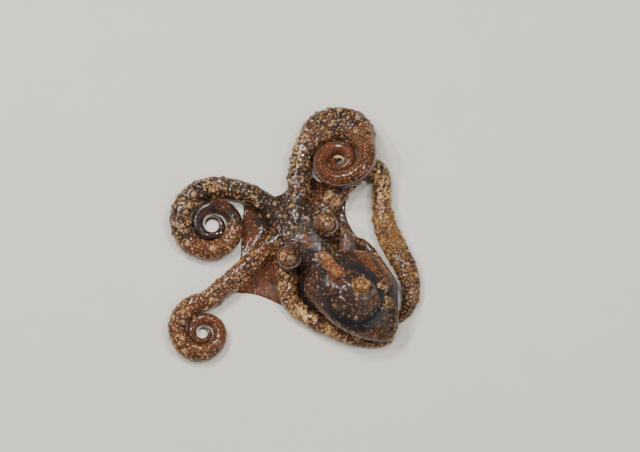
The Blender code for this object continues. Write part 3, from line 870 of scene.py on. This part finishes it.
def raise_warts(vertices, normals, places, warty, rim):
    """Adds folds, lumps and warts of three sizes. Gives the moved vertices, the tips and painted hollow
    shade.
    """
    push = Noise(3).layered(vertices, 4.5, 2) * 0.36 * (0.3 + 0.7 * warty)
    ring = hump_ring(places.u, places.v) + 0.12 * Noise(5).layered(vertices, 8.0)
    upper = places.mantle * smooth_step(normals[:, 2], 0.15, 0.5)
    furrow = upper * line_at(ring, 1.1, 0.13) * smooth_step(places.u, 26, 32)
    push += upper * 0.5 * fade(ring, 0.8, 1.0) - 1.7 * furrow
    push += 0.3 * rim * places.head + 0.2 * rim * places.mantle
    free_edge = places.near_web * fade(vertices[:, 2], 1.8, 3.6)
    push *= 1 - 0.8 * free_edge
    tips = np.zeros(len(vertices))
    slender = np.where(places.arm, np.clip(places.width / 5.5, 0.12, 1), 1)
    crown = near(vertices, -8, 1, 27) * (places.arm | places.web)
    for name, spacing, radius, height, share in WARTS:
        allowed = warty * slender > share
        if name == "large":
            allowed &= (crown > 0.3) | (rng.random(len(vertices)) < 0.2) & (warty > 0.75)
        allowed &= (normals[:, 2] > -0.3) & (free_edge < 0.4)
        candidates = np.flatnonzero(allowed)
        chosen = candidates[spread_points(vertices[candidates], spacing)]
        which, away = nearest(vertices, vertices[chosen])
        size = radius * rng.uniform(0.6, 1.25, len(chosen)) * slender[chosen] ** 0.7
        tall = height * rng.uniform(0.5, 1.3, len(chosen)) * slender[chosen] ** 0.7
        pale = rng.uniform(0, 1, len(chosen)) ** 0.8
        if name != "large":
            pale *= 1 - 0.4 * np.maximum(crown, places.head)[chosen]
        q = np.clip(away / size[which], 0, 1)
        dome = (1 - q * q) ** 2
        push = np.maximum(push, push * 0.7 + dome * tall[which])
        tips = np.maximum(tips, smooth_step(dome, 0.2, 0.8) * pale[which])
    warm_parts = near(vertices, *TUBERCLE[:2], 7.0) + (on_finger(vertices)[1] < FINGER_REACH)
    tips *= 1 - 0.62 * places.mantle * (1 - np.clip(warm_parts, 0, 1))
    # The third is painted shade, darker where the skin is raised least, in the hollows between the warts.
    return vertices + normals * push[:, None], tips, np.clip(0.5 - push * 0.9, 0, 1)


# ---- the skin's map: strips along the arms, and views from above and below of the rest


MAP_NAME = "OFBake"
MAP_GAP = 2.0  # between the pieces of the map
MAP_LEAST, MAP_STEP = 200.0, 3.0  # sizes that are tried for the whole map
SPREADS = {"web": 0.8, "head": 2.5, "mantle": 6.0}  # how far a view spreads its steep sides


def strip(run, angle, radius):
    """Flat coordinates of faces' corners on a tube that is cut along its underside."""
    turn = np.mod(angle + math.pi / 2, 2 * math.pi)
    first = turn[:, :1]
    turn = first + np.mod(turn - first + math.pi, 2 * math.pi) - math.pi
    return np.stack((run, turn * radius), -1)


def map_pieces(vertices, faces, normals, places):
    """The map's pieces: which faces, and their corners' flat coordinates in millimetres."""
    first = faces[:, 0]
    pieces = {}
    for i, (name, line) in enumerate(arms.items()):
        mine = np.flatnonzero(places.arm[first] & (places.number[first] == i))
        corners = faces[mine]
        guess = np.repeat(places.run[first[mine]], 4)
        run, across, up, past = on_arm(line, vertices[corners.ravel()], guess)
        thick, wide = line.thickness(run), line.half_width(run)
        angle = np.arctan2(up / (ARM_FLATNESS * thick), across / wide)
        radius = (thick * ARM_FLATNESS + wide) / 2
        pieces[name] = mine, strip(*(part.reshape(corners.shape) for part in (run + past, angle, radius)))

    t, from_finger = on_finger(vertices)
    finger = places.mantle & (from_finger < FINGER_REACH + 0.2) & (t > 0.3)
    mine = np.flatnonzero(finger[first])
    axis = unit(FINGER_TIP - FINGER_BASE)
    side = unit(np.cross(axis, (0, 0, 1)))
    out = vertices[faces[mine]] - FINGER_BASE
    ahead = out @ axis
    length, round_tip = np.linalg.norm(FINGER_TIP - FINGER_BASE), PAPILLAE[0][3]
    past = np.clip((ahead - length) / round_tip, 0, 1)
    ahead = np.minimum(ahead, length) + round_tip * np.arcsin(past)
    angle = np.arctan2(out @ np.cross(side, axis), out @ side)
    pieces["finger"] = mine, strip(ahead, angle, np.full(ahead.shape, round_tip))

    upwards = normals[first, 2] >= 0
    for name, held in (("web", places.web), ("head", places.head), ("mantle", places.mantle & ~finger)):
        for way, chosen in ((1, upwards), (-1, ~upwards)):
            mine = np.flatnonzero(held[first] & chosen)
            spot = vertices[faces[mine], :2] + SPREADS[name] * normals[faces[mine], :2]
            pieces[name, way] = mine, spot * (way, 1)
    return pieces


def nested(pieces):
    """Joins the arms' strips in pairs, the second end for end on the first, to save room."""
    order = sorted(arms, key=lambda name: -arms[name].length)
    for one, other in zip(order[::2], order[1::2]):
        (faces_a, a), (faces_b, b) = pieces.pop(one), pieces.pop(other)
        a, b = a - a.min((0, 1)), b - b.min((0, 1))
        length = max(a[..., 0].max(), b[..., 0].max())
        b[..., 0] = length - b[..., 0]
        # The strips' free edges are read in short steps.
        steps = int(length / 2) + 2
        tops = []
        for part in (a, b):
            top = np.zeros(steps)
            np.maximum.at(top, (part[..., 0] / 2).astype(int).ravel(), part[..., 1].ravel())
            tops.append(np.maximum(top, np.maximum(np.roll(top, 1), np.roll(top, -1))))
        b[..., 1] = (tops[0] + tops[1]).max() + MAP_GAP - b[..., 1]
        pieces[f"{one}_{other}"] = np.concatenate((faces_a, faces_b)), np.concatenate((a, b))
    return pieces


def packed(boxes, size):
    """Places for the boxes in a square, in rows, or nothing if they don't fit."""
    spots, rows, top = {}, [], 0.0
    for name, (wide, tall) in sorted(boxes.items(), key=lambda item: -item[1][1]):
        row = next((row for row in rows if row[0] + wide <= size and tall <= row[2]), None)
        if row is None:
            row = [0.0, top, tall]
            rows.append(row)
            top += tall
        spots[name] = row[0], row[1]
        row[0] += wide
        if row[0] > size or top > size:
            return None
    return spots


def give_map(data, vertices, faces, normals, places):
    """Lays the map's pieces side by side in the least square that holds them."""
    pieces = nested(map_pieces(vertices, faces, normals, places))
    boxes = {}
    for name, (_, spot) in pieces.items():
        spot -= spot.min((0, 1))
        boxes[name] = tuple(spot.max((0, 1)) + MAP_GAP)
    size = MAP_LEAST
    while packed(boxes, size) is None:
        size += MAP_STEP
    spots = packed(boxes, size)
    flat = np.zeros((*faces.shape, 2), np.float32)
    for name, (mine, spot) in pieces.items():
        flat[mine] = (spot + spots[name] + MAP_GAP / 2) / size
    data.uv_layers.new(name=MAP_NAME).data.foreach_set("uv", flat.ravel())


# ---- the skin


def build_skin(material):
    low, high = (np.array(corner) / MM + BASE_MIDDLE for corner in (cad_low, cad_high))
    grid = Field(low - 3 * STEP, high + 3 * STEP)
    whole, *fields = octopus_field(grid)
    smooth, faces = main_body(*surface(grid, whole + SKIN_DEPTH))
    normals = normals_of(smooth, faces)
    places = Places(grid, smooth, fields)
    amounts, warty = paint(places, smooth, normals)
    # The warts' pale tips and the painted shade of their hollows are kept with the colours.
    raised, amounts["tips"], amounts["hollow_shade"] = raise_warts(smooth, normals, places, warty, amounts["rim"])
    vertices = np.clip(raised, low + BOX_MARGIN, high - BOX_MARGIN)
    skin = mesh_object("skin", vertices, faces, material)
    attributes = skin.data.attributes
    for name, values in amounts.items():
        attributes.new(name, "FLOAT", "POINT").data.foreach_set("value", values.astype(np.float32))
    # The dots follow the arms: along them by the run, across by the way round.
    rows, arm = vertices.copy(), places.arm
    rows[arm, 0] = places.run[arm] + ROWS_APART * (places.number[arm] + 1)
    rows[arm, 1] = places.angle[arm] * places.width[arm] * 0.95
    rows = rows.astype(np.float32).ravel()
    attributes.new("rows", "FLOAT_VECTOR", "POINT").data.foreach_set("vector", rows)
    give_map(skin.data, smooth, faces, normals, places)
    return skin


# ---- materials


class Nodes:
    """A short way to add and join a material's nodes."""

    def __init__(self, name):
        self.material = bpy.data.materials.new(name)
        self.material.use_nodes = True
        self.tree = self.material.node_tree

    def put(self, socket, value):
        if isinstance(value, bpy.types.NodeSocket):
            self.tree.links.new(value, socket)
        else:
            socket.default_value = value

    def add(self, kind, inputs, **settings):
        """The outputs of a new node with these settings, and inputs by name or number."""
        node = self.tree.nodes.new("ShaderNode" + kind)
        for name, value in settings.items():
            setattr(node, name, value)
        for name, value in inputs.items():
            self.put(node.inputs[name], value)
        return node.outputs

    def shade(self, **inputs):
        """Feeds the shader. An underscore stands for each space in an input's name."""
        for name, value in inputs.items():
            self.put(self.tree.nodes["Principled BSDF"].inputs[name.replace("_", " ")], value)
        return self.material

    def attribute(self, name, output="Fac"):
        return self.add("Attribute", {}, attribute_name=name)[output]

    def maths(self, operation, a, b=0.0):
        return self.add("Math", {0: a, 1: b}, operation=operation)[0]

    def times(self, a, b):
        return self.maths("MULTIPLY", a, b)

    def plus(self, a, b):
        return self.maths("ADD", a, b)

    def hypot(self, a, b):
        return self.maths("SQRT", self.plus(self.times(a, a), self.times(b, b)))

    def span(self, value, low, high, out_low=0.0, out_high=1.0):
        """The value's place between low and high, smoothly, as a number between the other two."""
        inputs = {"Value": value, "From Min": low, "From Max": high, "To Min": out_low, "To Max": out_high}
        return self.add("MapRange", inputs, interpolation_type="SMOOTHSTEP")["Result"]

    def mix(self, share, a, b, blend="MIX"):
        return self.add("Mix", {"Factor": share, 6: a, 7: b}, data_type="RGBA", blend_type=blend)[2]

    def layers(self, base, *layers):
        """The base with other colours laid over it, each by its share."""
        for share, over in layers:
            base = self.mix(share, base, over)
        return base

    def noise(self, scale, detail=3.0, roughness=0.55, seed=0.0):
        inputs = {"Scale": scale, "Detail": detail, "Roughness": roughness, "W": seed}
        inputs["Vector"] = self.add("TexCoord", {})["Object"]
        return self.add("TexNoise", inputs, noise_dimensions="4D")["Fac"]

    def patches(self, noise, amount, soft=0.035):
        """Patches with clear edges that cover about the amount of the surface."""
        level = self.maths("SUBTRACT", 0.5, self.times(self.maths("SUBTRACT", amount, 0.5), 0.42))
        return self.span(self.maths("SUBTRACT", noise, level), -soft, soft)

    def bump(self, height, strength, distance):
        return self.add("Bump", {"Height": height, "Strength": strength, "Distance": distance})[0]


def colour(red, green, blue):
    """A colour given as it looks on a screen, from 0 to 255, as the shader takes it."""
    return (*[((c / 255 + 0.055) / 1.055) ** 2.4 for c in (red, green, blue)], 1)


REDDISH = colour(96, 47, 23)
UMBER = colour(60, 32, 16)
NEAR_BLACK = colour(27, 17, 15)
ORANGE = colour(136, 72, 32)
GOLDEN = colour(134, 92, 36)
SLATE = colour(31, 28, 33)
# Painted shade in the mantle's furrow.
SHADE_NAVY = colour(14, 15, 24)
MAUVE = colour(112, 84, 74)
TAN = colour(200, 138, 76)
CREAM = colour(232, 190, 132)
LILAC = colour(158, 146, 148)


def skin_material():
    n = Nodes("octopus_skin")
    broad = n.noise(200, 5, 0.6)
    middling = n.noise(480, 4, 0.6, 3.0)
    fine = n.noise(1500, 3, 0.6, 5.0)
    ragged = n.noise(550, 6, 0.75, 9.0)
    blotch = n.plus(n.times(broad, 0.6), n.times(middling, 0.4))
    speckle = n.patches(n.noise(820, 3, 0.6, 7.0), 0.42, 0.06)
    pale = n.mix(n.span(fine, 0.35, 0.62), TAN, CREAM)
    # The dots' rows: a cell holds a dot by chance, and its size and strength are chance too.
    inputs = {"Vector": n.attribute("rows", "Vector"), "Scale": 0.43, "Randomness": 0.6}
    cell = n.add("TexVoronoi", inputs, voronoi_dimensions="2D")
    chance = n.add("SeparateColor", {"Color": cell["Color"]})
    inside = n.maths("SUBTRACT", n.span(chance[1], 0.0, 1.0, 0.16, 0.28), cell["Distance"])
    spot = n.times(n.span(inside, 0.0, 0.07), n.maths("LESS_THAN", chance[0], n.attribute("dots")))
    base = n.layers(
        n.mix(n.span(middling, 0.38, 0.62), UMBER, REDDISH),
        (n.times(n.attribute("warm"), n.span(middling, 0.2, 0.6, 0.5, 1.0)), ORANGE),
        (n.times(n.attribute("gold"), n.span(middling, 0.3, 0.6, 0.5, 1.0)), GOLDEN),
        (n.attribute("slate"), SLATE),
        (n.attribute("mauve"), MAUVE),
        (n.times(n.patches(blotch, n.attribute("dark"), 0.05), 0.88), NEAR_BLACK),
        (n.times(speckle, 0.55), NEAR_BLACK),
        # Painted navy shade in the mantle's furrow.
        (n.attribute("black"), SHADE_NAVY),
        (n.times(n.patches(ragged, n.attribute("cream")), 0.9), pale),
        (n.times(spot, n.span(chance[2], 0, 1, 0.45, 0.95)), TAN),
        (n.times(n.times(n.attribute("tips"), n.span(ragged, 0.36, 0.56, 0.25, 1.0)), 0.72), pale),
    )
    # Fine noise varies the tone, and painted shade darkens the hollows between the warts.
    shade = n.times(n.span(fine, 0.3, 0.7, 0.6, 1.12), n.span(n.attribute("hollow_shade"), 0.3, 0.8, 1.0, 0.62))
    base = n.mix(1.0, base, n.add("CombineColor", {0: shade, 1: shade, 2: shade})[0], "MULTIPLY")
    heights = n.plus(n.plus(n.times(fine, 0.6), n.times(ragged, 0.8)), n.times(spot, 0.35))
    return n.shade(
        Base_Color=n.mix(n.attribute("rim"), base, LILAC),
        Roughness=n.span(middling, 0.3, 0.7, 0.38, 0.55),
        IOR=1.36,
        Specular_IOR_Level=0.3,
        Coat_Weight=0.9,
        Coat_Roughness=0.03,
        Coat_IOR=1.36,
        Subsurface_Weight=0.06,
        Subsurface_Radius=(1.0, 0.4, 0.2),
        Subsurface_Scale=0.0012,
        Normal=n.bump(heights, 1.0, 0.0009),
        Coat_Normal=n.bump(n.noise(560, 1, 0.5, 11.0), 0.6, 0.0004),
    )


def eye_material():
    """A brown iris with a level slit pupil. The eyeball's own z looks out and its x is level."""
    n = Nodes("octopus_eye")
    parts = n.add("SeparateXYZ", {"Vector": n.add("TexCoord", {})["Object"]})
    x, y, z = (n.times(part, 1 / (EYE_RADIUS * MM)) for part in parts)
    mottle = n.noise(1500, 4, 0.6, 2.0)
    past_slit = n.maths("MAXIMUM", n.maths("SUBTRACT", n.maths("ABSOLUTE", x), 0.28), 0.0)
    iris = n.layers(
        n.mix(n.span(mottle, 0.35, 0.65), colour(78, 52, 30), colour(128, 92, 56)),
        (n.span(n.noise(520, 3), 0.5, 0.7, 0.0, 0.6), colour(70, 46, 30)),
        (n.span(n.hypot(x, y), 0.5, 0.85), colour(72, 50, 34)),
        (n.span(n.hypot(past_slit, y), 0.16, 0.06, 0.0, 0.7), colour(24, 15, 11)),
        (n.span(z, 0.45, 0.6, 1.0, 0.0), colour(84, 60, 46)),
    )
    return n.shade(
        Base_Color=iris,
        Roughness=n.span(mottle, 0.3, 0.7, 0.16, 0.26),
        Coat_Weight=1.0,
        Coat_Roughness=0.02,
        Coat_IOR=1.38,
        Normal=n.bump(mottle, 0.25, 0.0001),
    )


# ---- eyes and suckers


def build_eye(name, side, material):
    """An eyeball with a slightly bulging front."""
    centre, look = eye_at(side)
    ball = bmesh.new()
    bmesh.ops.create_uvsphere(ball, u_segments=64, v_segments=40, radius=1)
    for vertex in ball.verts:
        turn = math.acos(max(-1, min(1, vertex.co.z)))
        bulge = 1 + EYE_BULGE * math.exp(-((turn / EYE_BULGE_TURN) ** 2))
        vertex.co *= bulge * (EYE_RADIUS - EYE_GAP) * MM
    data = bpy.data.meshes.new(name)
    ball.to_mesh(data)
    ball.free()
    data.shade_smooth()
    data.materials.append(material)
    level = unit(np.cross((0, 0, 1), look))
    up = np.cross(look, level)
    turn = Matrix([(level[i], up[i], look[i]) for i in range(3)]).to_4x4()
    eye = add_object(name, data)
    eye.matrix_world = Matrix.Translation(Vector(place(centre))) @ turn
    return eye


SUCKER_SIDES = 14
SUCKERS_FROM, SUCKERS_END = 15.0, 5  # where the rows start along an arm, and how far from its tip they end
SUCKER_ASIDE = 0.40  # from the arm's middle, over its half width
SUCKER_LOWEST = 0.04
SUCKER_ROOT = 0.45  # how far a cup reaches into the arm
# A cup's rings: the radius over the arm's half width, and the height over the sucker's own.
SUCKER_RINGS = (0.27, 1.0), (0.34, 0.35), (0.35, 0.12), (0.31, 0.0), (0.24, 0.06), (0.15, 0.5), (0.05, 0.6)


def build_suckers(material):
    """Two rows of cups under each arm, from the crown to near its tip."""
    turns = 2 * math.pi * np.arange(SUCKER_SIDES) / SUCKER_SIDES
    circle = np.stack((np.cos(turns), np.sin(turns)), -1)
    cup = np.concatenate([np.insert(circle * radius, 2, height, 1) for radius, height in SUCKER_RINGS])
    ring, j = (part.ravel() for part in np.mgrid[: len(SUCKER_RINGS) - 1, :SUCKER_SIDES])
    a, b, k = ring * SUCKER_SIDES, (ring + 1) * SUCKER_SIDES, (j + 1) % SUCKER_SIDES
    cup_faces = np.stack((b + j, b + k, a + k, a + j), -1)
    vertices = []
    for line in arms.values():
        at, side = SUCKERS_FROM, 1
        while at < line.length - SUCKERS_END:
            width, lift = float(line.thickness(at)), float(line.on_floor(at)[2])
            middle = line.on_floor(at) + line.side(at) * SUCKER_ASIDE * width * side
            underside = min(max(UNDERSIDE * width, 0.1), 0.9)
            middle[2] = SUCKER_LOWEST
            # Where the arm is off the floor its cups hang from it.
            if lift > 0.1 * width:
                underside = lift - 0.02 * width
                middle[2] = max(SUCKER_LOWEST, underside - 0.14 * width - 0.2)
            tall = underside + SUCKER_ROOT - middle[2]
            vertices.append(middle + cup * (width, width, tall))
            at += 0.46 * width + 0.3
            side = -side
    faces = np.concatenate([cup_faces + i * len(cup) for i in range(len(vertices))])
    return mesh_object("suckers", np.concatenate(vertices), faces, material)


def sucker_material():
    n = Nodes("octopus_suckers")
    flesh = n.layers(
        n.mix(n.span(n.noise(700, 4, 0.6, 4.0), 0.35, 0.65), colour(150, 104, 82), colour(206, 170, 142)),
        (n.patches(n.noise(1100, 3, 0.6, 6.0), 0.2, 0.05), colour(92, 54, 42)),
    )
    rough = n.span(n.noise(900, 3), 0.3, 0.7, 0.4, 0.55)
    return n.shade(Base_Color=flesh, Roughness=rough, Coat_Weight=0.7, Coat_Roughness=0.08)


# ---- the room


FRAME_WIDTH = 384.0  # what the camera sees across, at the floor
CAMERA_TARGET = np.array((13.8, -1.44, 0.0))
CAMERA_ELEVATION = math.radians(74)
CAMERA_DISTANCE = 2000.0
FLOOR_REACH = 4.0


def add_light(name, where, size, watts):
    data = bpy.data.lights.new(name, "AREA")
    data.shape = "DISK"
    data.size = size
    data.energy = watts
    lamp = add_object(name, data)
    lamp.location = where
    lamp.rotation_mode = "QUATERNION"
    lamp.rotation_quaternion = lamp.location.to_track_quat("Z", "Y")


def build_room():
    data = bpy.data.meshes.new("floor")
    corners = [(x * FLOOR_REACH, y * FLOOR_REACH, 0) for x, y in ((-1, -1), (1, -1), (1, 1), (-1, 1))]
    data.from_pydata(corners, [], [(0, 1, 2, 3)])
    n = Nodes("floor_paper")
    paper = n.mix(n.noise(40, 2), colour(206, 200, 188), colour(212, 206, 195))
    data.materials.append(n.shade(Base_Color=paper, Roughness=0.9))
    floor = add_object("floor", data)

    data = bpy.data.cameras.new("camera")
    data.sensor_width = 36
    data.lens = 36 * CAMERA_DISTANCE / FRAME_WIDTH
    data.clip_end = 20
    camera = add_object("camera", data)
    back = np.array((0, -math.cos(CAMERA_ELEVATION), math.sin(CAMERA_ELEVATION)))
    camera.location = place(CAMERA_TARGET + back * CAMERA_DISTANCE)
    camera.rotation_euler = (math.pi / 2 - CAMERA_ELEVATION, 0, 0)
    bpy.context.scene.camera = camera

    add_light("key", (-0.45, 0.5, 0.9), 0.25, 8)
    add_light("fill", (0.9, -0.5, 0.8), 1.0, 4)
    glints = (0.25, 0.35, 1.1), (-0.15, -0.1, 1.2), (0.5, 0.1, 0.9), (-0.6, 0.1, 0.8)
    for number, where in enumerate(glints):
        add_light(f"glint_{number}", where, 0.02, 3.4)
    world = bpy.data.worlds.new("world")
    world.use_nodes = True
    sky = world.node_tree.nodes["Background"].inputs
    sky["Color"].default_value = (0.9, 0.92, 0.95, 1)
    sky["Strength"].default_value = 0.26
    bpy.context.scene.world = world


skin = build_skin(skin_material())
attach(skin, "root")
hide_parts(*[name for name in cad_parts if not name.startswith("eye_")])
suckers = build_suckers(sucker_material())
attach(suckers, "root")
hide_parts(*[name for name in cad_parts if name.startswith("arm_") and name != "arm_crown"])
look_of_eye = eye_material()
for side_name, side_sign in (("right", 1), ("left", -1)):
    eyeball = build_eye(f"eyeball_{side_name}", side_sign, look_of_eye)
    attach(eyeball, "root")
    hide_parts(f"eye_{side_name}")
build_room()
